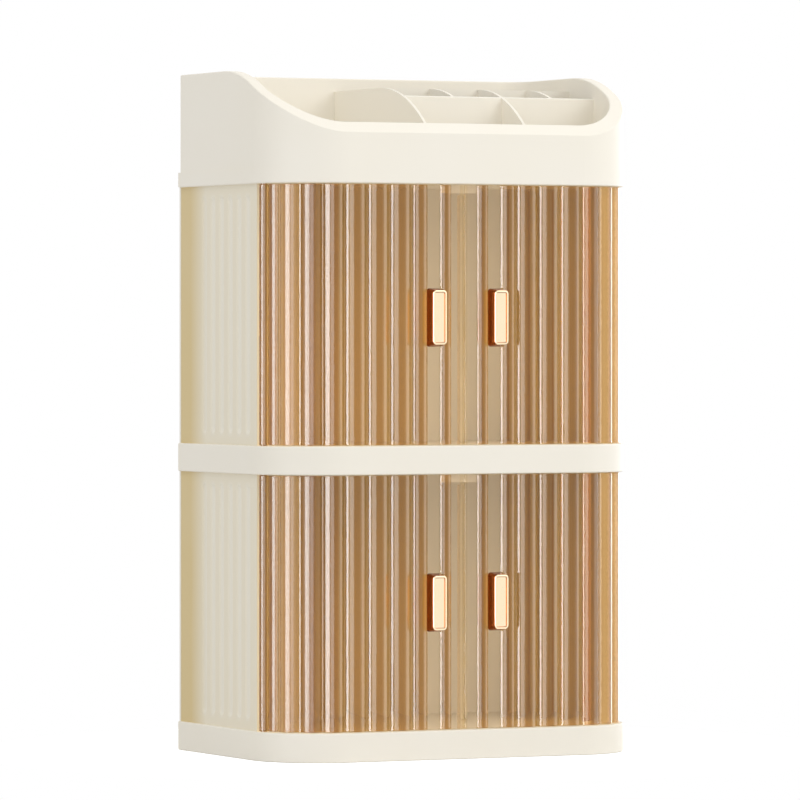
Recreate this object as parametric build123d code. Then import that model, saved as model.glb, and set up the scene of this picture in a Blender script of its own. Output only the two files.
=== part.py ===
from build123d import *
import os
from math import atan2, cos, radians, sin, sqrt

os.makedirs("parts", exist_ok=True)

# Millimetres. X to the right, Y to the back, Z up. The origin is on the table, under the middle of the bands.

# Bands: the outline that the base, the shelf and the tray share
width = 240.0
depth = 155.0
corner_front = 43.0
corner_back = 6.8
band_round = 0.8

# Storeys from the table up
base_height = 17.2
lower_opening = 150.2
shelf_height = 16.8
upper_opening = 153.4
flange_height = 8.8
tray_height = 67.4

# Mouldings: a plate inside a skirt, stiffened by ribs below
skirt_wall = 2.4
plate_wall = 2.6
rib_wall = 1.6
across_rib_count = 5
deep_rib_count = 3
centre_pad_radius = 6.0

# Side and back panels
panel_wall = 3.0
panel_inset = 2.0
panel_gap = 0.25
tongue_wall = 1.6
tongue_length = 4.0
tongue_gap = 0.2
channel_wall = 1.6
tab_width = 14.0
tab_count = 3
flute_count = 6
flute_pitch = 12.5
flute_field_middle = 6.7
flute_radius = 9.0
flute_depth = 0.8
flute_end_gap = 6.5
panel_corner = 1.2

# Doors
door_gap = 0.4
meeting_gap = 0.8
crest_inset = 1.8
rib_height = 3.2
door_wall = 1.6
lip_depth = 6.0
lip_wall = 1.9
lip_top_cut = 6.0

# Reeding, measured along the door's face from the middle of the cabinet
middle_land = 8.6
narrow_rib = 7.1
handle_land = 7.6
medium_rib = 10.5
valley = 0.95
wide_rib = 13.55
wide_rib_count = 7
narrow_rib_height = 2.6

# Door hinge: barrel and pins are part of the door
barrel_radius = 3.0
hinge_side_inset = 5.0
hinge_setback = 36.5
pin_radius = 2.0
pin_length = 4.0
pin_clearance = 0.07
pin_end_clearance = 0.4
boss_wall = 2.2
stop_width = 22.0
stop_wall = 2.4
stop_drop = 5.0
stop_gap = 0.3

# Handles
handle_width = 9.6
handle_height = 34.4
handle_depth = 8.9
handle_taper = 1.2
handle_edge = 1.0
handle_offset = 20.2
handle_seat_gap = 0.15
upper_handle_drop = 1.6
lower_handle_drop = 0.2

# Handle screws, driven from inside the door
screw_radius = 1.25
screw_head_radius = 2.4
screw_head_height = 1.4
screw_head_round = 0.45
screw_reach = 4.5
screw_spacing = 20.0
screw_clearance = 0.1
screw_drive_width = 0.7
screw_drive_depth = 0.5

# Tray
tray_step = 0.4
tray_side_wall = 7.3
tray_back_wall = 2.6
tray_front_wall = 8.5
tray_outer_back_corner = 9.7
tray_inner_corner = 36.2
tray_inner_back_corner = 14.0

# Rim, seen from the side: level, a bend, a straight run, and a wide curve down to the low front
rim_level_end = 7.3
rim_bend_radius = 91.0
rim_slope = 25.4
rim_run = 6.4
rim_front_height = 20.9
rim_round = 0.8

# Dividers: level tops that fall to the front on one arc
divider_wall = 1.7
divider_drop = 8.0
divider_fall_start = 12.0
divider_fall = 64.2
long_divider_x = -14.5
cross_divider_y = (11.5, -20.7)
small_divider_x = (18.5, 51.0, 84.0)
front_divider_x = 51.0

# How far a cutting tool reaches past what it cuts
cut_margin = 1.0

# Heights of the parting planes
lower_floor = base_height
lower_ceiling = lower_floor + lower_opening
upper_floor = lower_ceiling + shelf_height
upper_ceiling = upper_floor + upper_opening
tray_plate_top = upper_ceiling + flange_height
top = upper_ceiling + tray_height

front = -depth / 2
back = depth / 2
half_width = width / 2
corner_x = half_width - corner_front
corner_y = front + corner_front
hinge_x = half_width - hinge_side_inset
hinge_y = front + hinge_setback
panel_front = hinge_y + barrel_radius + door_gap
panel_outer = half_width - panel_inset
panel_inner = panel_outer - panel_wall
panel_back = back - panel_inset


def block(x0, x1, y0, y1, z0, z1):
    """A box between two corners."""
    solid = Box(x1 - x0, y1 - y0, z1 - z0, align=(Align.MIN, Align.MIN, Align.MIN))
    return Pos(x0, y0, z0) * solid


def upright(x, y, z0, z1, radius):
    """A round post or hole along Z."""
    solid = Cylinder(radius, z1 - z0, align=(Align.CENTER, Align.CENTER, Align.MIN))
    return Pos(x, y, z0) * solid


def mirrored(shape):
    """The other hand of a solid or of a group of solids."""
    if isinstance(shape, list):
        return [mirror(one, about=Plane.YZ) for one in shape]
    return mirror(shape, about=Plane.YZ)


def rounded_outline(half, y_front, y_back, radius_front, radius_back):
    """A rectangle with two large corners in front and two small ones behind."""
    middle = (y_front + y_back) / 2
    face = Pos(0, middle) * Rectangle(2 * half, y_back - y_front)
    face = fillet(face.vertices().sort_by(Axis.Y)[:2], radius_front)
    return fillet(face.vertices().sort_by(Axis.Y)[-2:], radius_back)


def band_face(inset):
    """The bands' outline, drawn in by an inset."""
    return rounded_outline(
        half_width - inset, front + inset, back - inset, corner_front - inset, corner_back - inset
    )


def slab(face, z0, z1):
    return Pos(0, 0, z0) * extrude(face, z1 - z0)


def soften(solid, z, radius):
    """Rounds the outer edge of a band at one height."""
    edges = solid.edges().filter_by_position(Axis.Z, z, z)
    return fillet(edges, radius)


def panel_places():
    """Where the three panels of a storey stand: middle line from start to end, and its direction."""
    wall_middle = (panel_outer + panel_inner) / 2
    back_middle = panel_back - panel_wall / 2
    side_end = panel_back - panel_wall - panel_gap
    sides = [("side", sign * wall_middle, panel_front, side_end) for sign in (-1, 1)]
    return sides + [("back", back_middle, -panel_outer, panel_outer)]


def wall_block(kind, middle, start, end, wall, z0, z1):
    """A wall of one panel's line: beside the storey, or behind it."""
    if kind == "side":
        return block(middle - wall / 2, middle + wall / 2, start, end, z0, z1)
    return block(start, end, middle - wall / 2, middle + wall / 2, z0, z1)


def step_middles(start, end, count):
    """Middles of equal steps between two ends."""
    step = (end - start) / count
    return [start + step * (i + 0.5) for i in range(count)]


def step_ends(half, count):
    """Where so many lines part a span about zero into equal steps."""
    step = 2 * half / (count + 1)
    return [step * (i + 1) - half for i in range(count)]


def tongue_shape(place, z0, z1, clearance):
    """The tongue on a panel's upper edge, or with a clearance the channel that takes it."""
    kind, middle, start, end = place
    margin = tongue_length - clearance
    return wall_block(kind, middle, start + margin, end - margin, tongue_wall + 2 * clearance, z0, z1)


def tab_shapes(place, z0, z1, clearance):
    """The tabs on a panel's lower edge, or with a clearance their slots."""
    kind, middle, start, end = place
    half = tab_width / 2 + clearance
    wall = tongue_wall + 2 * clearance
    return [
        wall_block(kind, middle, at - half, at + half, wall, z0, z1)
        for at in step_middles(start, end, tab_count)
    ]


def underside(z0, z1):
    """The hollow below a plate, less its ribs, hinge bosses and panel channels."""
    hollow = slab(band_face(skirt_wall), z0, z1)
    half = rib_wall / 2
    ribs = []
    for x in step_ends(half_width - skirt_wall, across_rib_count):
        ribs.append(block(x - half, x + half, front, back, z0, z1))
    for y in step_ends(back - skirt_wall, deep_rib_count):
        ribs.append(block(-half_width, half_width, y - half, y + half, z0, z1))
    for sign in (-1, 1):
        ribs.append(upright(sign * hinge_x, hinge_y, z0, z1, pin_radius + boss_wall))
    return hollow - ribs


def channel_guides(z0, z1):
    """Low walls inside the skirt that hold the upper edges of the panels."""
    offset = (tongue_wall + channel_wall) / 2 + tongue_gap
    guides = []
    for kind, middle, start, end in panel_places():
        inward = middle - offset if middle > 0 else middle + offset
        guides.append(wall_block(kind, inward, start, end, channel_wall, z0, z1))
    return guides


def pin_holes(z, direction):
    """The two holes for the door pins, up or down from a parting plane."""
    reach = door_gap + pin_length + pin_end_clearance
    z0, z1 = (z, z + reach) if direction > 0 else (z - reach, z)
    radius = pin_radius + pin_clearance
    return [upright(sign * hinge_x, hinge_y, z0, z1, radius) for sign in (-1, 1)]


def door_stop(z):
    """The lug behind the meeting edges that both doors of a storey close against."""
    lug_front = front + crest_inset + rib_height + lip_depth + stop_gap
    return block(-stop_width / 2, stop_width / 2, lug_front, lug_front + stop_wall, z - stop_drop, z + plate_wall)


def make_base():
    body = slab(band_face(0), 0, base_height)
    body = soften(body, base_height, band_round)
    body = soften(body, 0, band_round)
    body -= underside(0, base_height - plate_wall)
    body += upright(0, 0, 0, base_height - plate_wall, centre_pad_radius)
    body -= pin_holes(lower_floor, -1)
    for place in panel_places():
        body -= tab_shapes(place, lower_floor - tongue_length - tongue_gap, lower_floor, tongue_gap)
    return body


def make_mid_shelf():
    body = slab(band_face(0), lower_ceiling, upper_floor)
    body = soften(body, upper_floor, band_round)
    body = soften(body, lower_ceiling, band_round)
    plate_bottom = upper_floor - plate_wall
    body -= underside(lower_ceiling, plate_bottom)
    body += channel_guides(lower_ceiling, plate_bottom)
    for place in panel_places():
        body -= tongue_shape(place, lower_ceiling, lower_ceiling + tongue_length + tongue_gap, tongue_gap)
        body -= tab_shapes(place, upper_floor - tongue_length - tongue_gap, upper_floor, tongue_gap)
    body += door_stop(lower_ceiling)
    body -= pin_holes(lower_ceiling, 1)
    body -= pin_holes(upper_floor, -1)
    return body


def above_rim():
    """All that lies over the rim, as a solid to cut away."""
    slope = radians(rim_slope)
    level_end = (rim_level_end, top)
    bend_end = (rim_level_end - rim_bend_radius * sin(slope), top - rim_bend_radius * (1 - cos(slope)))
    run_end = Vector(bend_end[0] - rim_run * cos(slope), bend_end[1] - rim_run * sin(slope))
    to_front = Vector(front, tray_plate_top + rim_front_height) - run_end
    inward = Vector(sin(slope), -cos(slope))
    radius = to_front.dot(to_front) / (2 * to_front.dot(inward))
    front_curve = CenterArc(run_end + inward * radius, radius, 90 + rim_slope, 90 - rim_slope)
    past = front_curve @ 1
    above = top + cut_margin
    line = TangentArc(level_end, bend_end, tangent=(-1, 0))
    line += Line(bend_end, run_end)
    line += front_curve
    line += Polyline(past, (past.X, above), (rim_level_end, above), level_end)
    return extrude(Plane.YZ * make_face(line), width, both=True)


def rim_edges(bowl):
    """The rim's edges inside and outside: each bounds only one of the faces that make up the rim's top."""
    rim = bowl.faces().filter_by_position(Axis.Z, tray_plate_top + rim_front_height / 2, top)
    rim = [face for face in rim if face.normal_at().Z > sin(radians(rim_slope))]
    edges = [edge for face in rim for edge in face.edges()]
    return [edge for edge in edges if sum(edge.is_same(other) for other in edges) == 1]


def above_dividers():
    """All that lies over the dividers' tops, as a solid to cut away."""
    level = top - divider_drop
    fall_start = (divider_fall_start, level)
    fall_end = (front, level - divider_fall)
    above = top + cut_margin
    line = TangentArc(fall_start, fall_end, tangent=(-1, 0))
    line += Polyline(fall_end, (front, above), (back, above), (back, level), fall_start)
    return extrude(Plane.YZ * make_face(line), width, both=True)


def make_top_tray():
    flange = soften(slab(band_face(0), upper_ceiling, tray_plate_top), upper_ceiling, band_round)
    wall_face = rounded_outline(
        half_width - tray_step, front, back - tray_step, corner_front - tray_step, tray_outer_back_corner
    )
    bowl = slab(wall_face, upper_ceiling + band_round, top) - above_rim()
    cavity_face = rounded_outline(
        half_width - tray_step - tray_side_wall,
        front + tray_front_wall,
        back - tray_step - tray_back_wall,
        tray_inner_corner,
        tray_inner_back_corner,
    )
    cavity = slab(cavity_face, tray_plate_top, top + cut_margin)
    bowl -= cavity
    bowl = fillet(rim_edges(bowl), rim_round)
    body = flange + bowl

    half = divider_wall / 2
    rear_y, front_y = cross_divider_y
    walls = [block(long_divider_x - half, long_divider_x + half, front, back, tray_plate_top, top)]
    for y in cross_divider_y:
        walls.append(block(long_divider_x, half_width, y - half, y + half, tray_plate_top, top))
    for x in small_divider_x:
        walls.append(block(x - half, x + half, front_y, rear_y, tray_plate_top, top))
    walls.append(block(front_divider_x - half, front_divider_x + half, front, front_y, tray_plate_top, top))
    dividers = (walls[0] + walls[1:]) - above_dividers()
    body += dividers & cavity

    plate_bottom = tray_plate_top - plate_wall
    body -= underside(upper_ceiling, plate_bottom)
    body += channel_guides(upper_ceiling, plate_bottom)
    for place in panel_places():
        body -= tongue_shape(place, upper_ceiling, upper_ceiling + tongue_length + tongue_gap, tongue_gap)
    body += door_stop(upper_ceiling)
    body -= pin_holes(upper_ceiling, 1)
    return body


def flute(y, z0, z1):
    """One shallow round-ended groove, to cut from the right side panel's outer face."""
    x = panel_outer + flute_radius - flute_depth
    end_reach = sqrt(flute_radius**2 - (flute_radius - flute_depth) ** 2)
    low = z0 + flute_end_gap + end_reach
    high = z1 - flute_end_gap - end_reach
    tool = upright(x, y, low, high, flute_radius)
    tool += Pos(x, y, low) * Sphere(flute_radius)
    tool += Pos(x, y, high) * Sphere(flute_radius)
    return tool


def panel_body(place, z0, z1):
    """A flat panel with tabs below and a tongue above."""
    kind, middle, start, end = place
    body = wall_block(kind, middle, start, end, panel_wall, z0, z1)
    body += tab_shapes(place, z0 - tongue_length, z0, 0)
    body += tongue_shape(place, z1, z1 + tongue_length, 0)
    return body


def make_side_panel(place, z0, z1):
    """A side panel with its row of flutes."""
    body = panel_body(place, z0, z1)
    on_left = place[1] < 0
    first = flute_field_middle - flute_pitch * (flute_count - 1) / 2
    for i in range(flute_count):
        tool = flute(first + i * flute_pitch, z0, z1)
        if on_left:
            tool = mirrored(tool)
        body -= tool
    return body


def make_back_panel(place, z0, z1):
    """The back panel, rounded where it ends behind the side panels."""
    body = panel_body(place, z0, z1)
    corners = body.edges().filter_by(Axis.Z).sort_by(Axis.Y)[-2:]
    return fillet(corners, panel_corner)


def on_door(distance, inset):
    """A point of the right door: so far along its ribs' crests from the middle, and so far in from the band."""
    if distance <= corner_x:
        return (distance, front + inset)
    angle = (distance - corner_x) / (corner_front - crest_inset)
    radius = corner_front - inset
    return (corner_x + radius * sin(angle), corner_y - radius * cos(angle))


def reeding(end):
    """Start, end and height of every rib, from the middle of the cabinet to the hinge."""
    start = middle_land
    ribs = [(start, start + narrow_rib, narrow_rib_height)]
    start += narrow_rib + handle_land
    ribs.append((start, start + medium_rib, rib_height))
    start += medium_rib + valley
    for _ in range(wide_rib_count):
        if start + wide_rib < end:
            ribs.append((start, start + wide_rib, rib_height))
        start += wide_rib + valley
    return ribs


def land_edge(start, end, inset):
    """The floor of a valley: straight on the face, an arc round the corner, or both."""
    if end <= corner_x:
        return Line(on_door(start, inset), on_door(end, inset))
    if start >= corner_x:
        middle = (start + end) / 2
        return ThreePointArc(on_door(start, inset), on_door(middle, inset), on_door(end, inset))
    return land_edge(start, corner_x, inset) + land_edge(corner_x, end, inset)


def door_section():
    """The right door seen from above, from its meeting edge to the hinge."""
    land_inset = crest_inset + rib_height
    inner_inset = land_inset + door_wall
    hinge_angle = atan2(hinge_x - corner_x, corner_y - hinge_y)
    end = corner_x + hinge_angle * (corner_front - crest_inset)
    begin = meeting_gap / 2
    outline = Line(on_door(begin, inner_inset), on_door(begin, land_inset))
    at = begin
    for start, stop, height in reeding(end):
        outline += land_edge(at, start, land_inset)
        middle = on_door((start + stop) / 2, land_inset - height)
        outline += ThreePointArc(on_door(start, land_inset), middle, on_door(stop, land_inset))
        at = stop
    outline += land_edge(at, end, land_inset)
    outline += Line(on_door(end, land_inset), on_door(end, inner_inset))
    outline += land_edge(begin, end, inner_inset)
    return make_face(outline)


def handle_place(z):
    """Plane of a right-hand handle's seat, looking out of the door."""
    seat = front + crest_inset + rib_height
    return Plane((handle_offset, seat, z), x_dir=(1, 0, 0), z_dir=(0, -1, 0))


def screw_heights(z):
    return (z - screw_spacing / 2, z + screw_spacing / 2)


def make_door(z0, z1, handle_z):
    """The right door of a storey."""
    low = z0 + door_gap
    high = z1 - door_gap
    land_y = front + crest_inset + rib_height
    body = slab(door_section(), low, high)
    begin = meeting_gap / 2
    lip = block(begin, begin + lip_wall, land_y, land_y + lip_depth, low, high)
    cut_front = land_y + door_wall
    lip -= block(0, stop_width, cut_front, land_y + lip_depth + cut_margin, high - lip_top_cut, high)
    body += lip
    body += upright(hinge_x, hinge_y, low, high, barrel_radius)
    body += upright(hinge_x, hinge_y, low - pin_length, high + pin_length, pin_radius)
    seat_x = handle_width / 2 + handle_seat_gap
    seat_z = handle_height / 2 + handle_seat_gap
    body -= block(
        handle_offset - seat_x, handle_offset + seat_x, front, land_y, handle_z - seat_z, handle_z + seat_z
    )
    for z in screw_heights(handle_z):
        hole = Cylinder(screw_radius + screw_clearance, 2 * (door_wall + cut_margin))
        body -= handle_place(z) * hole
    return body


def make_handle(z):
    """A gold pull: a block that tapers to its softened front face."""
    plane = handle_place(z)
    foot = Rectangle(handle_width, handle_height)
    face = Rectangle(handle_width - handle_taper / 2, handle_height - 2 * handle_taper)
    body = loft([plane * foot, plane.offset(handle_depth) * face])
    front_edges = body.faces().sort_by(Axis.Y)[0].edges()
    body = fillet(front_edges, handle_edge)
    for height in screw_heights(z):
        hole = Cylinder(screw_radius, screw_reach + screw_clearance, align=(Align.CENTER, Align.CENTER, Align.MIN))
        body -= handle_place(height) * hole
    return body


def make_screws(z):
    """Both screws of a handle, as separate solids."""
    screws = []
    drive = Box(2 * screw_head_radius, screw_drive_width, 2 * screw_drive_depth)
    for height in screw_heights(z):
        head = Cylinder(screw_head_radius, screw_head_height, align=(Align.CENTER, Align.CENTER, Align.MAX))
        head = fillet(head.edges().sort_by(Axis.Z)[:1], screw_head_round)
        shank = Cylinder(screw_radius, door_wall + screw_reach, align=(Align.CENTER, Align.CENTER, Align.MIN))
        screw = head + shank
        screw -= Pos(0, 0, -screw_head_height) * drive
        screw -= Pos(0, 0, -screw_head_height) * Rot(0, 0, 90) * drive
        screws.append(handle_place(height).offset(-door_wall) * screw)
    return screws


def save(name, solids):
    """Writes one node, a solid or a group of separate solids."""
    if isinstance(solids, list):
        shape = Compound(children=solids)
    else:
        shape = solids
    shape.label = name
    export_step(shape, f"parts/{name}.step")


save("base", make_base())
save("mid_shelf", make_mid_shelf())
save("top_tray", make_top_tray())

storeys = {
    "lower": (lower_floor, lower_ceiling, lower_handle_drop),
    "upper": (upper_floor, upper_ceiling, upper_handle_drop),
}
for storey, (floor_z, ceiling_z, handle_drop) in storeys.items():
    handle_z = (floor_z + ceiling_z) / 2 - handle_drop
    left_place, right_place, back_place = panel_places()
    save(f"{storey}_left_side_panel", make_side_panel(left_place, floor_z, ceiling_z))
    save(f"{storey}_right_side_panel", make_side_panel(right_place, floor_z, ceiling_z))
    save(f"{storey}_back_panel", make_back_panel(back_place, floor_z, ceiling_z))
    pieces = {
        "door": make_door(floor_z, ceiling_z, handle_z),
        "handle": make_handle(handle_z),
        "handle_screws": make_screws(handle_z),
    }
    for piece, shape in pieces.items():
        save(f"{storey}_right_{piece}", shape)
        save(f"{storey}_left_{piece}", mirrored(shape))
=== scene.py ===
# %% [markdown]
# # A two-storey cosmetic cabinet
#
# The real thing is a small cabinet of cream plastic for a dressing table. Two storeys are each closed by
# a pair of reeded, see-through amber doors that wrap round the front corners, and an open tray with
# dividers stands on top. Its measured model is loaded here as a fixed frame. Every CAD piece sits at the
# origin with its place in its mesh, so nothing has to be fitted: this lesson adds the finishes, the
# finer pieces, the light and the camera.

# %% Load the frame
from math import atan2, cos, pi, radians, sin, sqrt

import bmesh
import bpy
from mathutils import Matrix, Vector


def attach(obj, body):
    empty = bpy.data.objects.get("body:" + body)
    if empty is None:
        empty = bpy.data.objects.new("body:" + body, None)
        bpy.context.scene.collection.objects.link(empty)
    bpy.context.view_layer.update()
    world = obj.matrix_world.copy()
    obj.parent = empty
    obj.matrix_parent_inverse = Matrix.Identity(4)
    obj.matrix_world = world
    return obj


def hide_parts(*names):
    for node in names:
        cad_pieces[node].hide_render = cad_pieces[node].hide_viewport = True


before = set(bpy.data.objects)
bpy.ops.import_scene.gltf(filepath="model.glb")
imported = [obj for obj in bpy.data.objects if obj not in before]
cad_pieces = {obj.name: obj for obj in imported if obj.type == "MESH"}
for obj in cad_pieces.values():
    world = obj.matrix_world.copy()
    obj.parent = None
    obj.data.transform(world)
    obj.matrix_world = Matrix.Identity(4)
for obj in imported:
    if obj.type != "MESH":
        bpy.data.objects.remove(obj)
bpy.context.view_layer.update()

print("CAD pieces:", len(cad_pieces))

# %% [markdown]
# ## Shader maths in Python
#
# Each finish below is a small sum over the surface: a mask here, a thickness there. Such a sum can be
# wired by hand, one Math node at a time, but then nobody can read it. A class that wraps one socket and
# overloads Python's operators adds the same nodes while the sum stays on one line. Every other node
# comes from one method that takes its type, its settings and what its sockets get.

# %% Write node trees as expressions


class Value:
    """One output socket. Python's operators on it add Math nodes."""

    def __init__(self, graph, node, output):
        self.graph = graph
        self.node = node
        self.socket = node.outputs[output]

    def out(self, output):
        """Another output of the same node."""
        return Value(self.graph, self.node, output)

    def maths(self, operation, *inputs):
        return self.graph.add("ShaderNodeMath", {"operation": operation}, dict(enumerate(inputs)))

    def __add__(self, other):
        return self.maths("ADD", self, other)

    def __radd__(self, other):
        return self.maths("ADD", other, self)

    def __sub__(self, other):
        return self.maths("SUBTRACT", self, other)

    def __rsub__(self, other):
        return self.maths("SUBTRACT", other, self)

    def __mul__(self, other):
        return self.maths("MULTIPLY", self, other)

    def __rmul__(self, other):
        return self.maths("MULTIPLY", other, self)

    def __truediv__(self, other):
        return self.maths("DIVIDE", self, other)

    def __pow__(self, other):
        return self.maths("POWER", self, other)

    def __gt__(self, other):
        return self.maths("GREATER_THAN", self, other)

    def __lt__(self, other):
        return self.maths("LESS_THAN", self, other)

    def __abs__(self):
        return self.maths("ABSOLUTE", self)

    def most(self, other):
        return self.maths("MAXIMUM", self, other)

    def least(self, other):
        return self.maths("MINIMUM", self, other)

    def fraction(self):
        return self.maths("FRACT", self)

    def exponential(self):
        return self.maths("EXPONENT", self)

    def arctan2(self, other):
        return self.maths("ARCTAN2", self, other)


class Graph:
    """The node tree of a material or of the world, started empty."""

    def __init__(self, owner):
        owner.use_nodes = True
        self.owner = owner
        self.tree = owner.node_tree
        self.tree.nodes.clear()

    def add(self, kind, settings=None, sockets=None, output=0):
        """Adds a node: its settings first, then each socket's value or link. Gives back one output."""
        node = self.tree.nodes.new(kind)
        for name, setting in (settings or {}).items():
            setattr(node, name, setting)
        for name, given in (sockets or {}).items():
            if isinstance(given, Value):
                self.tree.links.new(given.socket, node.inputs[name])
            else:
                node.inputs[name].default_value = given
        return Value(self, node, output) if node.outputs else None

    def axes(self, vector):
        """The parts of a vector: this value is X, and out("Y") and out("Z") give the others."""
        return self.add("ShaderNodeSeparateXYZ", None, {"Vector": vector})

    def blend(self, factor, first, second):
        """A colour between two colours."""
        settings = {"data_type": "RGBA"}
        return self.add("ShaderNodeMix", settings, {0: factor, 6: first, 7: second}, output=2)

    def noise(self, place, scale, detail=2.0):
        """Soft random values about one half. Scale is in spots per metre."""
        return self.add("ShaderNodeTexNoise", None, {"Vector": place, "Scale": scale, "Detail": detail})

    def relief(self, height, distance, strength):
        """A bumped normal. Distance is the height of the relief in metres."""
        sockets = {"Strength": strength, "Distance": distance, "Height": height}
        return self.add("ShaderNodeBump", None, sockets)

    def principled(self, sockets):
        """Ends a material with one Principled shader, and gives the material back."""
        shader = self.add("ShaderNodeBsdfPrincipled", None, sockets)
        self.add("ShaderNodeOutputMaterial", None, {"Surface": shader})
        return self.owner


def new_finish(name):
    """An empty material, with the place on the piece in metres."""
    graph = Graph(bpy.data.materials.new(name))
    place = graph.add("ShaderNodeTexCoord", output="Object")
    return graph, place


def ramp(value, start, stop):
    """Rises from 0 to 1 between two values."""
    return ((value - start) / (stop - start)).most(0.0).least(1.0)


print("Socket class ready")

# %% [markdown]
# ## Cream plastic
#
# Base, shelf, tray and panels are moulded in one satin cream plastic. A plain colour would look like
# paper: the real skin has clouds of slightly different cream where the melt flowed, a fine orange-peel
# relief from the mould, and a roughness that wanders a little. All three read the object's own
# coordinates, so they stay on the piece when a door opens or the view changes.

# %% Make the cream plastic
CREAM_PALE = (0.885, 0.845, 0.760, 1.0)
CREAM_WARM = (0.870, 0.822, 0.715, 1.0)
CLOUDS_PER_METRE = 14.0
CLOUD_DETAIL = 3.0
PEEL_PER_METRE = 900.0
PEEL_DETAIL = 1.0
PEEL_HEIGHT = 0.00001
PEEL_STRENGTH = 0.6
SATIN_ROUGHNESS = 0.52
SATIN_WANDER = 0.12
SATIN_GLOSS = 0.2
CREAM_IOR = 1.46


def cream_clouds(graph, place):
    return graph.noise(place, CLOUDS_PER_METRE, CLOUD_DETAIL)


def satin_cream(graph, place, clouds, colour):
    """Ends a cream material: a colour of its own on the skin that all the cream mouldings share."""
    peel = graph.noise(place, PEEL_PER_METRE, PEEL_DETAIL)
    sockets = {
        "Base Color": colour,
        "Roughness": SATIN_ROUGHNESS + SATIN_WANDER * clouds,
        "IOR": CREAM_IOR,
        "Specular IOR Level": SATIN_GLOSS,
        "Normal": graph.relief(peel, PEEL_HEIGHT, PEEL_STRENGTH),
    }
    return graph.principled(sockets)


def make_cream_plastic():
    graph, place = new_finish("cream_plastic")
    clouds = cream_clouds(graph, place)
    return satin_cream(graph, place, clouds, graph.blend(clouds, CREAM_PALE, CREAM_WARM))


cream_plastic = make_cream_plastic()
print("Made", cream_plastic.name)

# %% [markdown]
# ### The side panels' cream, with painted light and shade
#
# The side panels are thinner and let some light through. They look yellower than the frame, most of all
# where they run onto the back panel, and the thin bottom of each flute looks paler than the ribs
# between. Real light through the plastic would be slow and noisy to render, so the material paints light
# and shade instead: painted shade, darker and yellower on a ramp towards the rear, and painted light,
# paler along a mask that repeats the flutes' pitch.

# %% Make the side panels' cream with its painted light and shade, with its places in millimetres
MM = 0.001
PANEL_CREAM = (0.815, 0.752, 0.610, 1.0)
# Painted light: paler along the middle of each flute.
PANEL_FLUTE_PAINTED_LIGHT = (0.835, 0.790, 0.680, 1.0)
# Painted shade: darker and yellower towards the rear of the side panels.
PANEL_PAINTED_SHADE = (0.685, 0.545, 0.290, 1.0)
REAR_START = 36.0
REAR_END = 58.0
REAR_PAINTED_SHADE = 0.85
REAR_SHADE_CLOUDS = 0.30
FLUTES = 6
FLUTE_FIRST = -24.55
FLUTE_PITCH = 12.5
FLUTE_CORE = 1.2
FLUTE_EDGE = 3.7
FLUTE_END = 8.0

# The floor and the ceiling of each storey, and the middle of its pulls.
STOREYS = {"lower": (17.2, 167.4, 92.1), "upper": (184.2, 337.6, 259.3)}


def flute_painted_light_mask(axes):
    """Where the flutes get painted light: 1 along the middle of each flute, and 0 on the ribs between and
    near the panel's ends.
    """
    pitches = (axes.out("Y") / MM - FLUTE_FIRST) / FLUTE_PITCH + 0.5
    aside = abs(pitches.fraction() - 0.5) * FLUTE_PITCH
    stripes = (1.0 - ramp(aside, FLUTE_CORE, FLUTE_EDGE)) * (pitches > 0.0) * (pitches < FLUTES)
    height = axes.out("Z") / MM
    for floor_z, ceiling_z, _ in STOREYS.values():
        from_end = (height - floor_z).least(ceiling_z - height)
        stripes = stripes * (1.0 - ramp(abs(from_end), FLUTE_END, FLUTE_END - FLUTE_EDGE))
    return stripes


def make_cream_panel_painted_light():
    graph, place = new_finish("cream_panel_painted_light")
    clouds = cream_clouds(graph, place)
    axes = graph.axes(place)
    # Painted shade ramps in towards the rear, and painted light fills the flutes.
    rear_painted_shade = ramp(axes.out("Y") / MM, REAR_START, REAR_END)
    front = graph.blend(flute_painted_light_mask(axes), PANEL_CREAM, PANEL_FLUTE_PAINTED_LIGHT)
    colour = graph.blend(rear_painted_shade * (REAR_PAINTED_SHADE + REAR_SHADE_CLOUDS * clouds), front, PANEL_PAINTED_SHADE)
    return satin_cream(graph, place, clouds, colour)


cream_panel_painted_light = make_cream_panel_painted_light()
print("Made", cream_panel_painted_light.name)

# %% [markdown]
# ## Amber plastic
#
# The doors are clear polystyrene with an amber dye, so thick places look darker and redder than thin
# ones. Blender can absorb light inside a volume, but then every lamp ray into the cabinet is tinted as
# well, and the fireflies of refraction come with it. Here the depth of colour at each place along the
# reeding is worked out in the shader, and each colour channel falls off with it by the law of a real
# dye, exp(-dye x depth). The plain wall has a tint of its own on top.
#
# The depth isn't only the rib's height: it carries painted light and shade. A rib's flanks get painted
# light, coloured as if thinner, because they bend the view sideways, and the valleys between wide ribs
# get painted shade, coloured as if deep. All ribs, the narrower ones too, are coloured as deep as a wide
# one. Its two feet get painted shade, a plain darkening, because little light comes back from there.

# %% Say how the doors are reeded, in millimetres
BAND_FRONT = -77.5
CORNER_X = 77.0
CORNER_Y = -34.5
CORNER_RADIUS = 43.0
CREST_RADIUS = 41.2
RIB_HEIGHT = 3.2
WIDE_RIBS_START = 34.75
WIDE_RIB = 13.55
WIDE_PITCH = 14.5
VALLEY = WIDE_PITCH - WIDE_RIB

# Where each of the two narrower ribs starts and stops, and its height.
NARROW_RIB = (8.6, 15.7, 1.7)
MEDIUM_RIB = (24.0, 33.8, 2.4)
print("Wide ribs every", WIDE_PITCH, "mm, with valleys of", round(VALLEY, 2), "mm between")

# %% Work out how deep the amber looks, with its painted light and shade
CREST_FLATNESS = 8
FLANK_START = 0.30
FLANK_END = 0.72
FLANK_FADE = 0.08
# Painted light: a rib's flanks are coloured as if this much thinner.
FLANK_PAINTED_LIGHT = 1.25
FOOT_START = 0.78
FOOT_END = 0.88
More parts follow.
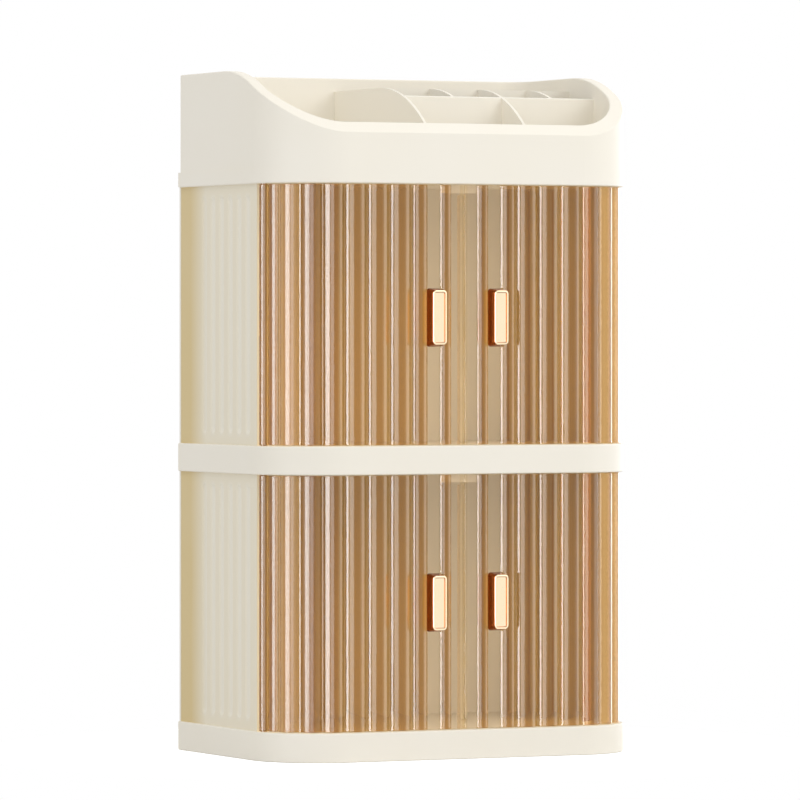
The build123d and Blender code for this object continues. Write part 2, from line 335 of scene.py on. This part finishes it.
# Painted shade: the valleys between wide ribs are coloured at least this deep.
VALLEY_PAINTED_SHADE = 1.8
LIP_END = 2.5
LIP_FRONT = -72.0
WRAP_START = 80.0
WRAP_END = 98.0


def rib_look(distance, start, stop):
    """How deep one rib looks, with painted light on its flanks, and its foot: the band at each side, where
    light runs along the rib, which gets painted shade.
    """
    along = abs(distance - (start + stop) / 2) / ((stop - start) / 2)
    before_flank_ends = 1.0 - ramp(along, FLANK_END, FLANK_END + FLANK_FADE)
    flank_painted_light = ramp(along, FLANK_START, FLANK_START + FLANK_FADE) * before_flank_ends
    swell_with_painted_light = (RIB_HEIGHT - FLANK_PAINTED_LIGHT * flank_painted_light) * (1.0 - along**CREST_FLATNESS).most(0.0)
    foot_painted_shade = ramp(along, FOOT_START, FOOT_END) * (along < 1.0)
    return swell_with_painted_light, foot_painted_shade


def door_look(graph, place):
    """A door's ribs as depth in millimetres, with painted light and shade, their feet's painted shade, its
    lip, and how far it has wrapped round.
    """
    axes = graph.axes(place)
    across = abs(axes.out("X")) / MM
    deep = axes.out("Y") / MM
    angle = (across - CORNER_X).arctan2(CORNER_Y - deep)
    round_corner = across > CORNER_X
    distance = round_corner * (CORNER_X + angle * CREST_RADIUS) + (1.0 - round_corner) * across
    pitches = (distance - WIDE_RIBS_START) / WIDE_PITCH
    swell_with_painted_light, foot_painted_shade = rib_look(pitches.fraction() * WIDE_PITCH, 0.0, WIDE_RIB)
    # Painted shade in the valleys between the wide ribs.
    swell_with_painted_light = swell_with_painted_light.most(VALLEY_PAINTED_SHADE) * (distance > WIDE_RIBS_START - VALLEY)
    foot_painted_shade = foot_painted_shade * (pitches > 0.0)
    # The narrower ribs are coloured as deep as a wide one, not by their own height.
    for start, stop, _ in (NARROW_RIB, MEDIUM_RIB):
        one_swell_with_painted_light, one_foot_painted_shade = rib_look(distance, start, stop)
        swell_with_painted_light = swell_with_painted_light + one_swell_with_painted_light
        foot_painted_shade = foot_painted_shade + one_foot_painted_shade
    on_lip = (across < LIP_END) * (deep > LIP_FRONT)
    # How far the door has wrapped round: it sets the rougher finish and the painted shade there.
    wrapped = ramp(distance, WRAP_START, WRAP_END)
    return swell_with_painted_light, foot_painted_shade, on_lip, wrapped


print("Ribs look", RIB_HEIGHT, "mm deep, and", FLANK_PAINTED_LIGHT, "mm less on their flanks")

# %% [markdown]
# ### One shader for the doors
#
# A Principled shader with full transmission gives the gloss, the bent view and the colour. Where the
# doors wrap round, the plastic is rougher, and painted shade makes it darker and deeper in colour.
# Shadow rays and diffuse rays meet a Transparent shader instead: it lets lamps and soft light into the
# cabinet without noise, a little warmed. The lip behind the meeting edge is mostly of this plain shader
# too, because its rounded walls would draw grainy streaks of lamp.

# %% Make the amber plastic
DYE = (0.133, 0.279, 0.638)
WALL_TINT = (0.96, 0.88, 0.81)
LET_THROUGH = (1.0, 0.93, 0.80, 1.0)
AMBER_IOR = 1.5
CLEAR_ROUGHNESS = 0.04
# Painted shade on the ribs' feet, a plain darkening.
FOOT_SHADE = 0.10
FLOW_PER_METRE = 25.0
FLOW = 0.08
LIP_ROUGHNESS = 0.33
LIP_PLAIN = 0.85
WRAP_ROUGHNESS = 0.17
# Painted shade where the doors wrap round: darker, and a deeper amber.
WRAP_SHADE = 0.18
WRAP_PAINTED_SHADE_DEPTH = 1.5


def make_amber_plastic():
    graph, place = new_finish("amber_plastic")
    swell_with_painted_light, foot_painted_shade, on_lip, wrapped = door_look(graph, place)
    flow = graph.noise(place, FLOW_PER_METRE)
    # The depth also carries the flanks' painted light and the painted shade of valleys and wrap;
    # shade_left is painted shade on the feet and the wrap.
    depth = (swell_with_painted_light + WRAP_PAINTED_SHADE_DEPTH * wrapped) * (1.0 + FLOW * (flow - 0.5))
    shade_left = (1.0 - FOOT_SHADE * foot_painted_shade) * (1.0 - WRAP_SHADE * wrapped)
    channels = {}
    for channel, dye in enumerate(DYE):
        channels[channel] = (depth * -dye).exponential() * WALL_TINT[channel] * shade_left
    sockets = {
        "Base Color": graph.add("ShaderNodeCombineColor", None, channels),
        "Roughness": CLEAR_ROUGHNESS + LIP_ROUGHNESS * on_lip + WRAP_ROUGHNESS * wrapped,
        "IOR": AMBER_IOR,
        "Transmission Weight": 1.0,
    }
    plastic = graph.add("ShaderNodeBsdfPrincipled", None, sockets)
    clear = graph.add("ShaderNodeBsdfTransparent", None, {"Color": LET_THROUGH})
    ray = graph.add("ShaderNodeLightPath", output="Is Shadow Ray")
    seen_plain = ray.out("Is Diffuse Ray").most(LIP_PLAIN * on_lip)
    seen = graph.add("ShaderNodeMixShader", None, {0: seen_plain, 1: plastic, 2: clear})
    surface = graph.add("ShaderNodeMixShader", None, {0: ray, 1: seen, 2: clear})
    graph.add("ShaderNodeOutputMaterial", None, {"Surface": surface})
    return graph.owner


amber_plastic = make_amber_plastic()
print("Made", amber_plastic.name)

# %% [markdown]
# ## Gold and screw steel
#
# The pulls are polished, plated metal, and the screws behind them are plain turned steel. Metal takes
# its colour from its base colour alone, so gold is a deep yellow that the lamps turn pale. The sides of
# a real pull mirror the amber ribs beside it again and again and look far deeper than its face, so that
# reflection is painted: faces that look sideways, read from the piece's own normal, get a deep copper,
# and faces that look to the front a pale gold. Fine rubbing marks change the roughness and the relief
# of both metals.

# %% Make the gold and the steel
GOLD_PALE = (0.985, 0.84, 0.60, 1.0)
GOLD_YELLOW = (0.965, 0.80, 0.53, 1.0)
# Painted reflection: the deep copper of the pulls' sides.
GOLD_SIDE_PAINTED_REFLECTION = (0.34, 0.09, 0.012, 1.0)
SIDE_FACING = 0.55
FRONT_FACING = 0.97
TONES_PER_METRE = 60.0
RUBS_PER_METRE = 320.0
RUB_HEIGHT = 0.000002
GOLD_ROUGHNESS = 0.13
GOLD_WANDER = 0.10
STEEL_PALE = (0.62, 0.62, 0.64, 1.0)
STEEL_DARK = (0.48, 0.48, 0.50, 1.0)
MARKS_PER_METRE = 1800.0
MARK_HEIGHT = 0.000003
STEEL_ROUGHNESS = 0.25
STEEL_WANDER = 0.2
METAL_STRENGTH = 0.5


def make_gold():
    graph, place = new_finish("gold")
    rub = graph.noise(place, RUBS_PER_METRE)
    tone = graph.noise(place, TONES_PER_METRE)
    facing = graph.axes(place.out("Normal"))
    # Painted reflection goes on the faces that look sideways.
    side_painted_reflection = 1.0 - ramp(abs(facing.out("Y")), SIDE_FACING, FRONT_FACING)
    pale = graph.blend(tone, GOLD_PALE, GOLD_YELLOW)
    sockets = {
        "Base Color": graph.blend(side_painted_reflection, pale, GOLD_SIDE_PAINTED_REFLECTION),
        "Metallic": 1.0,
        "Roughness": GOLD_ROUGHNESS + GOLD_WANDER * rub,
        "Normal": graph.relief(rub, RUB_HEIGHT, METAL_STRENGTH),
    }
    return graph.principled(sockets)


def make_screw_steel():
    graph, place = new_finish("screw_steel")
    marks = graph.noise(place, MARKS_PER_METRE)
    sockets = {
        "Base Color": graph.blend(marks, STEEL_PALE, STEEL_DARK),
        "Metallic": 1.0,
        "Roughness": STEEL_ROUGHNESS + STEEL_WANDER * marks,
        "Normal": graph.relief(marks, MARK_HEIGHT, METAL_STRENGTH),
    }
    return graph.principled(sockets)


gold = make_gold()
screw_steel = make_screw_steel()
print("Made", gold.name, "and", screw_steel.name)

# %% [markdown]
# ## Dressing the CAD pieces
#
# Each CAD piece comes with a slot named for its plastic or metal, so one loop gives every piece its
# finish. The side panels are moulded in the same cream as the frame, and get the material with painted
# shade towards the rear and painted light along the flutes.

# %% Finish the CAD pieces
finishes = {
    "cream_plastic": cream_plastic,
    "cream_panel_painted_light": cream_panel_painted_light,
    "amber_plastic": amber_plastic,
    "gold": gold,
    "screw_steel": screw_steel,
}
for name, piece in cad_pieces.items():
    for material_slot in piece.material_slots:
        finish = material_slot.material.name.split(".")[0]
        material_slot.material = finishes["cream_panel_painted_light" if "side_panel" in name else finish]
print("Finished", len(cad_pieces), "CAD pieces")

# %% [markdown]
# ## Drawing with one walking vertex
#
# A door is one long moulding: seen from above, its outline is a row of ribs, a wrapped corner, a hinge
# barrel and a stiffening lip. Such an outline could be typed as a list of points, but a vertex that
# walks says better what it is: an extrude carries it straight on, and a spin carries it round an arc.
# The closed line is then filled and pulled up, the way the plastic would leave an extrusion die.

# %% Walk, fill and pull up
WELD = 0.001


def circle_centre(first, second, third):
    """The centre of the circle through three points of the plane."""
    to_second, to_third = second - first, third - first
    area = 2 * (to_second.x * to_third.y - to_second.y * to_third.x)
    x = to_third.y * to_second.length_squared - to_second.y * to_third.length_squared
    y = to_second.x * to_third.length_squared - to_third.x * to_second.length_squared
    return first + Vector((x, y, 0.0)) / area


class Walk:
    """A line in the plane z = 0, drawn by one vertex. Lengths are in millimetres."""

    def __init__(self, x, y):
        self.bm = bmesh.new()
        self.tip = self.bm.verts.new((x, y, 0.0))

    def straight(self, x, y):
        made = bmesh.ops.extrude_vert_indiv(self.bm, verts=[self.tip])
        self.tip = made["verts"][0]
        self.tip.co = (x, y, 0.0)

    def turn(self, centre, angle, steps):
        """Spins the vertex about a centre."""
        made = bmesh.ops.spin(
            self.bm, geom=[self.tip], cent=centre, axis=(0.0, 0.0, 1.0), angle=angle, steps=steps
        )
        self.tip = [part for part in made["geom_last"] if isinstance(part, bmesh.types.BMVert)][0]

    def arc(self, middle, end, steps):
        """Spins the vertex along the arc through a middle point to an end."""
        start, middle, end = self.tip.co.copy(), Vector((*middle, 0.0)), Vector((*end, 0.0))
        centre = circle_centre(start, middle, end)
        begin, half, stop = ((point - centre).xy for point in (start, middle, end))
        self.turn(centre, -(begin.angle_signed(half) + half.angle_signed(stop)), steps)

    def pull_up(self, z0, z1):
        """Closes and fills the line, and makes it a solid between two heights."""
        bm = self.bm
        bmesh.ops.remove_doubles(bm, verts=bm.verts[:], dist=WELD)
        bmesh.ops.edgeloop_fill(bm, edges=bm.edges[:])
        bmesh.ops.translate(bm, verts=bm.verts[:], vec=(0.0, 0.0, z0))
        pulled = bmesh.ops.extrude_face_region(bm, geom=bm.faces[:])
        upper = [part for part in pulled["geom"] if isinstance(part, bmesh.types.BMVert)]
        bmesh.ops.translate(bm, verts=upper, vec=(0.0, 0.0, z1 - z0))
        bmesh.ops.recalc_face_normals(bm, faces=bm.faces[:])
        return bm


def show_mesh(bm, name):
    """Turns a bmesh into an object of the scene."""
    mesh = bpy.data.meshes.new(name)
    bm.to_mesh(mesh)
    bm.free()
    piece = bpy.data.objects.new(name, mesh)
    bpy.context.scene.collection.objects.link(piece)
    return piece


def place_mesh(bm, name):
    """Scales a bmesh from millimetres to metres, and shows it."""
    bmesh.ops.scale(bm, verts=bm.verts[:], vec=(MM, MM, MM))
    return show_mesh(bm, name)


print("Walking vertex ready")

# %% [markdown]
# ## The doors
#
# Each right-hand door runs from the meeting edge to its hinge. The ribs are solid, rounded bars on a
# thin wall: two narrower ones stand by the pull, with a flat land for it between them, and wide ones
# follow all the way round the corner, the last of them cut short by the hinge. The hinge barrel with its
# pins is part of the same moulding. The pull's seat, the screw holes and the notch at the top of the lip
# are cut afterwards, as they are in the mould by their own inserts.

# %% Find places on the door, in millimetres
LAND_INSET = 5.0
DOOR_WALL = 1.6
INNER_INSET = LAND_INSET + DOOR_WALL
LAND_RADIUS = CORNER_RADIUS - LAND_INSET
INNER_RADIUS = CORNER_RADIUS - INNER_INSET
LAND_Y = BAND_FRONT + LAND_INSET
INNER_Y = BAND_FRONT + INNER_INSET
CORNER = Vector((CORNER_X, CORNER_Y))
HINGE = Vector((115.0, -41.0))
BARREL_RADIUS = 3.0
LAST_RIB_HEIGHT = 2.1


def on_door(distance, inset):
    """A point so far along the door's face, and so far in from the band."""
    if distance <= CORNER_X:
        return (distance, BAND_FRONT + inset)
    angle = (distance - CORNER_X) / CREST_RADIUS
    radius = CORNER_RADIUS - inset
    return (CORNER_X + radius * sin(angle), CORNER_Y - radius * cos(angle))


def barrel_meets(radius):
    """The angle round the corner, and the angle on the barrel, where an arc of the door runs into it."""
    to_hinge = HINGE - CORNER
    reach = to_hinge.length
    along = (radius**2 - BARREL_RADIUS**2 + reach**2) / (2 * reach)
    aside = sqrt(radius**2 - along**2)
    meets = to_hinge.normalized() * along + Vector((to_hinge.y, -to_hinge.x)).normalized() * aside
    from_hinge = meets - to_hinge
    return atan2(meets.x, -meets.y), atan2(from_hinge.y, from_hinge.x)


def rib_list():
    """Start, stop and height of every rib before the hinge."""
    ribs = [NARROW_RIB, MEDIUM_RIB]
    start = WIDE_RIBS_START
    door_end = CORNER_X + barrel_meets(LAND_RADIUS)[0] * CREST_RADIUS
    while start + WIDE_RIB < door_end:
        ribs.append((start, start + WIDE_RIB, RIB_HEIGHT))
        start += WIDE_PITCH
    ribs.append((start, door_end - VALLEY, LAST_RIB_HEIGHT))
    return ribs


print("Ribs of one door:", len(rib_list()))
print("Barrel meets the wall at", [round(part, 3) for part in barrel_meets(LAND_RADIUS)])

# %% Draw a door's outline
MEETING_X = 0.4
MEETING_ROUND = 0.45
LIP_WALL = 1.9
LIP_DEPTH = 6.0
VALLEY_STEPS = 3
RIB_STEPS = 28
BARREL_STEPS = 36
CORNER_STEPS = 40
ROUND_STEPS = 5


def walk_land(walk, start, stop):
    """A valley's floor: straight on the face, an arc round the corner, or both."""
    if start < CORNER_X:
        walk.straight(*on_door(min(stop, CORNER_X), LAND_INSET))
        start = min(stop, CORNER_X)
    if stop > start:
        walk.turn((*CORNER, 0.0), (stop - start) / CREST_RADIUS, VALLEY_STEPS)


def walk_lip(walk):
    """The stiffening lip behind the meeting edge, with three rounded corners."""
    near = MEETING_X + MEETING_ROUND
    far = MEETING_X + LIP_WALL - MEETING_ROUND
    tip = LAND_Y + LIP_DEPTH - MEETING_ROUND
    walk.straight(MEETING_X + LIP_WALL, INNER_Y)
    walk.straight(MEETING_X + LIP_WALL, tip)
    walk.turn((far, tip, 0.0), pi / 2, ROUND_STEPS)
    walk.straight(near, LAND_Y + LIP_DEPTH)
    walk.turn((near, tip, 0.0), pi / 2, ROUND_STEPS)
    walk.straight(MEETING_X, LAND_Y + MEETING_ROUND)
    walk.turn((near, LAND_Y + MEETING_ROUND, 0.0), pi / 2, ROUND_STEPS)


def walk_door():
    """The whole outline, from the meeting edge round to the lip."""
    at = MEETING_X + MEETING_ROUND
    walk = Walk(at, LAND_Y)
    for start, stop, height in rib_list():
        walk_land(walk, at, start)
        crest = on_door((start + stop) / 2, LAND_INSET - height)
        walk.arc(crest, on_door(stop, LAND_INSET), RIB_STEPS)
        at = stop
    outer_angle, barrel_start = barrel_meets(LAND_RADIUS)
    inner_angle, barrel_stop = barrel_meets(INNER_RADIUS)
    walk_land(walk, at, CORNER_X + outer_angle * CREST_RADIUS)
    walk.turn((*HINGE, 0.0), (barrel_stop - barrel_start) % (2 * pi), BARREL_STEPS)
    walk.turn((*CORNER, 0.0), -inner_angle, CORNER_STEPS)
    walk_lip(walk)
    return walk


outline = walk_door()
print("Door outline has", len(outline.bm.verts), "vertices")
outline.bm.free()

# %% [markdown]
# ### Cutting with Booleans
#
# Seats and holes could be modelled into the ribs by hand, but they cross the ribs at awkward places. A
# Boolean with the exact solver cuts them cleanly, and its result is taken as a plain mesh, so nothing is
# left to work out at render time. Each cutting tool is a bmesh primitive that only lives for the cut.

# %% Cut, and join
ROD_SEGMENTS = 48


def block(x0, x1, y0, y1, z0, z1):
    """A box between two corners, in millimetres."""
    bm = bmesh.new()
    size = Matrix.Diagonal((x1 - x0, y1 - y0, z1 - z0, 1.0))
    middle = Matrix.Translation(((x0 + x1) / 2, (y0 + y1) / 2, (z0 + z1) / 2))
    bmesh.ops.create_cube(bm, size=1.0, matrix=middle @ size)
    return bm


def rod(centre, direction, radius, length, segments=ROD_SEGMENTS):
    """A round bar about a centre, in millimetres."""
    bm = bmesh.new()
    turn = Vector(direction).to_track_quat("Z", "Y").to_matrix().to_4x4()
    bmesh.ops.create_cone(
        bm,
        cap_ends=True,
        segments=segments,
        radius1=radius,
        radius2=radius,
        depth=length,
        matrix=Matrix.Translation(centre) @ turn,
    )
    return bm


def round_off(bm, edges, offset, segments):
    """Bevels edges with a round profile."""
    bmesh.ops.bevel(
        bm, geom=edges, offset=offset, segments=segments, profile=0.5, material=-1, affect="EDGES"
    )


def combine(piece, tool_bm, operation):
    """Joins a tool to a piece, or cuts it out, and keeps the result as a plain mesh."""
    tool = place_mesh(tool_bm, "tool")
    step = piece.modifiers.new("combine", "BOOLEAN")
    step.operation = operation
    step.solver = "EXACT"
    step.object = tool
    shown = piece.evaluated_get(bpy.context.evaluated_depsgraph_get())
    mesh = bpy.data.meshes.new_from_object(shown)
    piece.modifiers.clear()
    old = piece.data
    piece.data = mesh
    mesh.name = piece.name
    bpy.data.meshes.remove(old)
    bpy.data.meshes.remove(tool.data)


def shade(piece, angle):
    """Smooth faces, with a sharp edge wherever the surface turns by more than an angle."""
    piece.data.shade_smooth()
    piece.data.set_sharp_from_angle(angle=radians(angle))


def open_edges(piece):
    """How many edges don't join exactly two faces: none on a closed shell."""
    bm = bmesh.new()
    bm.from_mesh(piece.data)
    count = sum(not edge.is_manifold for edge in bm.edges)
    bm.free()
    return count


print("Boolean helper ready")

# %% Mould the right-hand doors
DOOR_GAP = 0.4
PIN_RADIUS = 2.0
PIN_LENGTH = 4.0
SEAT_X = 20.2
SEAT_HALF_WIDTH = 4.95
SEAT_HALF_HEIGHT = 17.35
NOTCH_WIDTH = 22.0
NOTCH_HEIGHT = 6.0
OVERCUT = 1.0
SCREW_SPACING = 20.0
HOLE_RADIUS = 1.35
HOLE_LENGTH = 8.0
HOLE_SEGMENTS = 32
EDGE_ROUND = 0.25
EDGE_SEGMENTS = 2
SQUARE_ON = 0.9
DOOR_SHARP_ANGLE = 19.0


def round_ends(bm):
    """A small round along the top and bottom edges of a pulled-up outline."""
    ends = [face for face in bm.faces if abs(face.normal.z) > SQUARE_ON]
    rims = list({edge for face in ends for edge in face.edges})
    round_off(bm, rims, EDGE_ROUND, EDGE_SEGMENTS)


def mould_door(name, floor_z, ceiling_z, pull_z):
    low, high = floor_z + DOOR_GAP, ceiling_z - DOOR_GAP
    bm = walk_door().pull_up(low, high)
    round_ends(bm)
    door = place_mesh(bm, name)
    pins = rod((*HINGE, (low + high) / 2), (0, 0, 1), PIN_RADIUS, high - low + 2 * PIN_LENGTH)
    combine(door, pins, "UNION")
    seat = block(
        SEAT_X - SEAT_HALF_WIDTH,
        SEAT_X + SEAT_HALF_WIDTH,
        BAND_FRONT,
        LAND_Y,
        pull_z - SEAT_HALF_HEIGHT,
        pull_z + SEAT_HALF_HEIGHT,
    )
    combine(door, seat, "DIFFERENCE")
    notch = block(0.0, NOTCH_WIDTH, INNER_Y, INNER_Y + LIP_DEPTH, high - NOTCH_HEIGHT, high + OVERCUT)
    combine(door, notch, "DIFFERENCE")
    for side in (-0.5, 0.5):
        screw_z = pull_z + side * SCREW_SPACING
        hole = rod((SEAT_X, LAND_Y, screw_z), (0, 1, 0), HOLE_RADIUS, HOLE_LENGTH, HOLE_SEGMENTS)
        combine(door, hole, "DIFFERENCE")
    shade(door, DOOR_SHARP_ANGLE)
    return door


right_doors = {}
for storey, (floor_z, ceiling_z, pull_z) in STOREYS.items():
    door = mould_door(f"{storey}_right_reeded_door", floor_z, ceiling_z, pull_z)
    right_doors[storey] = door
    print(door.name, len(door.data.polygons), "faces,", open_edges(door), "open edges")

# %% [markdown]
# ### The other hand
#
# The left-hand doors are the right-hand ones seen in a mirror. A negative scale on the object would do
# it for the eye, but it leaves the faces inside out and the object scaled, so the mesh itself is turned
# over and its faces are reversed. Each door then rides on its own body, so that it swings about its
# pins.

# %% Mirror the left-hand doors, and hang all four


def mirror_piece(piece, name):
    """The other hand of a piece, with its faces turned back outwards."""
    bm = bmesh.new()
    bm.from_mesh(piece.data)
    bmesh.ops.scale(bm, verts=bm.verts[:], vec=(-1.0, 1.0, 1.0))
    bmesh.ops.reverse_faces(bm, faces=bm.faces[:])
    return show_mesh(bm, name)


for storey, right_door in right_doors.items():
    left_door = mirror_piece(right_door, f"{storey}_left_reeded_door")
    shade(left_door, DOOR_SHARP_ANGLE)
    for side, door in (("right", right_door), ("left", left_door)):
        door.data.materials.append(amber_plastic)
        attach(door, f"{storey}_{side}_door")
        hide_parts(f"{storey}_{side}_door")
        print("Hung", door.name)

# %% [markdown]
# ## The pulls
#
# A pull is a small block of plated metal that tapers towards its face. The face is framed: a narrow rim
# stands round a sunken panel with sloping walls, and it is this rim that catches the light. A cube is
# tapered, its corners and front edge are bevelled, and the face is inset twice, the second time pushed
# in.

# %% Cast the pulls
PULL_WIDTH = 9.6
PULL_HEIGHT = 34.4
PULL_DEPTH = 8.9
PULL_FACE_WIDTH = 9.0
PULL_FACE_HEIGHT = 32.0
PULL_CORNER = 2.1
PULL_CORNER_SEGMENTS = 6
PULL_EDGE = 0.45
PULL_EDGE_SEGMENTS = 4
PULL_RIM = 0.7
PULL_SLOPE = 0.35
PULL_SINK = 0.6
PULL_SHARP_ANGLE = 35.0


def front_face(bm):
    """The largest face that looks to the front."""
    bm.normal_update()
    to_front = [face for face in bm.faces if face.normal.y < -SQUARE_ON]
    return max(to_front, key=lambda face: face.calc_area())


def runs_deep(edge):
    """Whether an edge runs from the front to the back."""
    first, second = edge.verts
    return abs((first.co - second.co).normalized().y) > SQUARE_ON


def cast_pull(name, side, pull_z):
    half_width, half_height = PULL_WIDTH / 2, PULL_HEIGHT / 2
    bm = block(-half_width, half_width, LAND_Y - PULL_DEPTH, LAND_Y, -half_height, half_height)
    taper = (PULL_FACE_WIDTH / PULL_WIDTH, 1.0, PULL_FACE_HEIGHT / PULL_HEIGHT)
    bmesh.ops.scale(bm, verts=front_face(bm).verts[:], vec=taper)
    round_off(bm, [edge for edge in bm.edges if runs_deep(edge)], PULL_CORNER, PULL_CORNER_SEGMENTS)
    round_off(bm, front_face(bm).edges[:], PULL_EDGE, PULL_EDGE_SEGMENTS)
    bmesh.ops.inset_region(bm, faces=[front_face(bm)], thickness=PULL_RIM, depth=0.0)
    bmesh.ops.inset_region(bm, faces=[front_face(bm)], thickness=PULL_SLOPE, depth=-PULL_SINK)
    bmesh.ops.translate(bm, verts=bm.verts[:], vec=(side * SEAT_X, 0.0, pull_z))
    pull = place_mesh(bm, name)
    shade(pull, PULL_SHARP_ANGLE)
    return pull


for storey, (_, _, pull_z) in STOREYS.items():
    for hand, side in (("left", -1), ("right", 1)):
        pull = cast_pull(f"{storey}_{hand}_pull", side, pull_z)
        pull.data.materials.append(gold)
        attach(pull, f"{storey}_{hand}_door")
        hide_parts(f"{storey}_{hand}_handle")
        print("Cast", pull.name, len(pull.data.polygons), "faces,", open_edges(pull), "open edges")

# %% [markdown]
# ## Floor and background
#
# The cabinet stands on white. The floor is a small pale disc: it catches the cabinet's shadow, and its
# open surface is lifted to white for the camera and for what gloss and glass show.

# %% Lay the floor
FLOOR_RADIUS = 0.26
FLOOR_SEGMENTS = 96
FLOOR_WHITE = (0.8, 0.8, 0.8, 1.0)
FLOOR_LIFT = 0.75
FIRST_BOUNCE = 0.5


def seen_rays(graph):
    """1 for rays that show the background itself, also in gloss or through glass, and 0 for soft light."""
    rays = graph.add("ShaderNodeLightPath", output="Is Camera Ray")
    shown = rays.most(rays.out("Is Glossy Ray")).most(rays.out("Is Transmission Ray"))
    return shown * (rays.out("Diffuse Depth") < FIRST_BOUNCE)


def make_floor_white():
    graph = Graph(bpy.data.materials.new("floor_white"))
    paper = graph.add("ShaderNodeBsdfDiffuse", None, {"Color": FLOOR_WHITE})
    lift = graph.add("ShaderNodeEmission", None, {"Strength": FLOOR_LIFT * seen_rays(graph)})
    both = graph.add("ShaderNodeAddShader", None, {0: paper, 1: lift})
    graph.add("ShaderNodeOutputMaterial", None, {"Surface": both})
    return graph.owner


def make_floor():
    bm = bmesh.new()
    bmesh.ops.create_circle(bm, cap_ends=True, segments=FLOOR_SEGMENTS, radius=FLOOR_RADIUS)
    disc = show_mesh(bm, "floor")
    disc.data.materials.append(make_floor_white())
    return disc


floor = make_floor()
print("Floor disc, radius", FLOOR_RADIUS, "m")

# %% [markdown]
# ### The world's light
#
# The world is plain white where it is seen, so the picture's background is white and so is what the
# plastic and the metal mirror. To rays of soft light it is a little dimmer, which leaves room for the
# lamps.

# %% Light the world
WORLD_FILL = 0.73
WHITE = (1.0, 1.0, 1.0, 1.0)


def make_world():
    world = bpy.data.worlds.new("studio")
    graph = Graph(world)
    strength = WORLD_FILL + (1.0 - WORLD_FILL) * seen_rays(graph)
    background = graph.add("ShaderNodeBackground", None, {"Color": WHITE, "Strength": strength})
    graph.add("ShaderNodeOutputWorld", None, {"Surface": background})
    bpy.context.scene.world = world


make_world()
print("World fill", WORLD_FILL)

# %% [markdown]
# ## Lamps
#
# Reeding shows its lamps as lines, so their places can be read from the picture: a narrow strong softbox
# far to the left draws the white line on each rib's left flank, a weaker one nearer the front draws the
# tan line beside it, and a faint one on the right lights the other flank. One behind the right end draws
# the lines where the doors wrap round there. These four light gloss alone. A panel at the upper right is
# the key, and three soft fills keep the left side, the inside of the storeys and the inside of the tray
# from going grey.

# %% Hang the softboxes
LAMP_DISTANCE = 2.0
AIM = Vector((0.0, 0.0, 0.2))


def hang_softbox(name, part, azimuth, elevation, size, radiance):
    """An area lamp that faces the cabinet, for gloss, fill or both. Azimuth counts to the left."""
    width, height = size
    lamp = bpy.data.lights.new(name, "AREA")
    lamp.shape = "RECTANGLE"
    lamp.size = width
    lamp.size_y = height
    lamp.energy = radiance * pi * width * height
    turn, lift = radians(azimuth), radians(elevation)
    toward = Vector((-sin(turn) * cos(lift), -cos(turn) * cos(lift), sin(lift)))
    softbox = bpy.data.objects.new(name, lamp)
    softbox.location = AIM + toward * LAMP_DISTANCE
    softbox.rotation_euler = toward.to_track_quat("Z", "Y").to_euler()
    softbox.visible_camera = False
    softbox.visible_diffuse = part != "gloss"
    softbox.visible_glossy = part != "fill"
    softbox.visible_transmission = part == "both"
    bpy.context.scene.collection.objects.link(softbox)
    print("Softbox", name, "at", [round(axis, 2) for axis in softbox.location])


hang_softbox("left_softbox", "gloss", azimuth=71.5, elevation=7.5, size=(1.55, 1.50), radiance=12.5)
hang_softbox("front_softbox", "gloss", azimuth=27.0, elevation=7.5, size=(1.05, 1.50), radiance=4.4)
hang_softbox("right_softbox", "gloss", azimuth=-67.0, elevation=7.5, size=(1.20, 1.50), radiance=1.8)
hang_softbox("edge_softbox", "gloss", azimuth=-118.0, elevation=7.5, size=(1.20, 1.50), radiance=5.0)
hang_softbox("key_panel", "both", azimuth=-45.0, elevation=35.0, size=(1.60, 1.20), radiance=2.2)
hang_softbox("left_fill", "fill", azimuth=125.0, elevation=15.0, size=(1.20, 1.20), radiance=0.05)
hang_softbox("front_fill", "fill", azimuth=12.0, elevation=8.0, size=(1.20, 1.20), radiance=0.65)
hang_softbox("top_panel", "fill", azimuth=75.0, elevation=60.0, size=(1.20, 1.20), radiance=1.2)

# %% [markdown]
# ## Camera
#
# The camera was fitted to the outline's corners of the picture: it is nearly four metres away with a
# long lens, to the left of the cabinet, and at the height of the upper storey. It is level, so upright
# edges stay upright, and the lens is shifted, as on a view camera, to frame the cabinet.

# %% Set the camera
CAMERA_PLACE = (-1.6387, -3.3720, 0.2488)
CAMERA_TURN = 25.92
PICTURE = 800.0
FOCAL_PIXELS = 6265.0
AXIS_ACROSS = 410.6
AXIS_DOWN = 335.4
SENSOR = 36.0
CLIP_END = 50.0


def set_camera():
    data = bpy.data.cameras.new("camera")
    data.sensor_width = SENSOR
    data.lens = FOCAL_PIXELS / PICTURE * SENSOR
    data.shift_x = (PICTURE / 2 - AXIS_ACROSS) / PICTURE
    data.shift_y = (AXIS_DOWN - PICTURE / 2) / PICTURE
    data.clip_end = CLIP_END
    camera = bpy.data.objects.new("camera", data)
    camera.location = CAMERA_PLACE
    camera.rotation_euler = (radians(90.0), 0.0, radians(-CAMERA_TURN))
    bpy.context.scene.collection.objects.link(camera)
    bpy.context.scene.camera = camera
    print("Lens", round(data.lens, 1), "mm")


set_camera()
bpy.context.scene.view_settings.view_transform = "Standard"
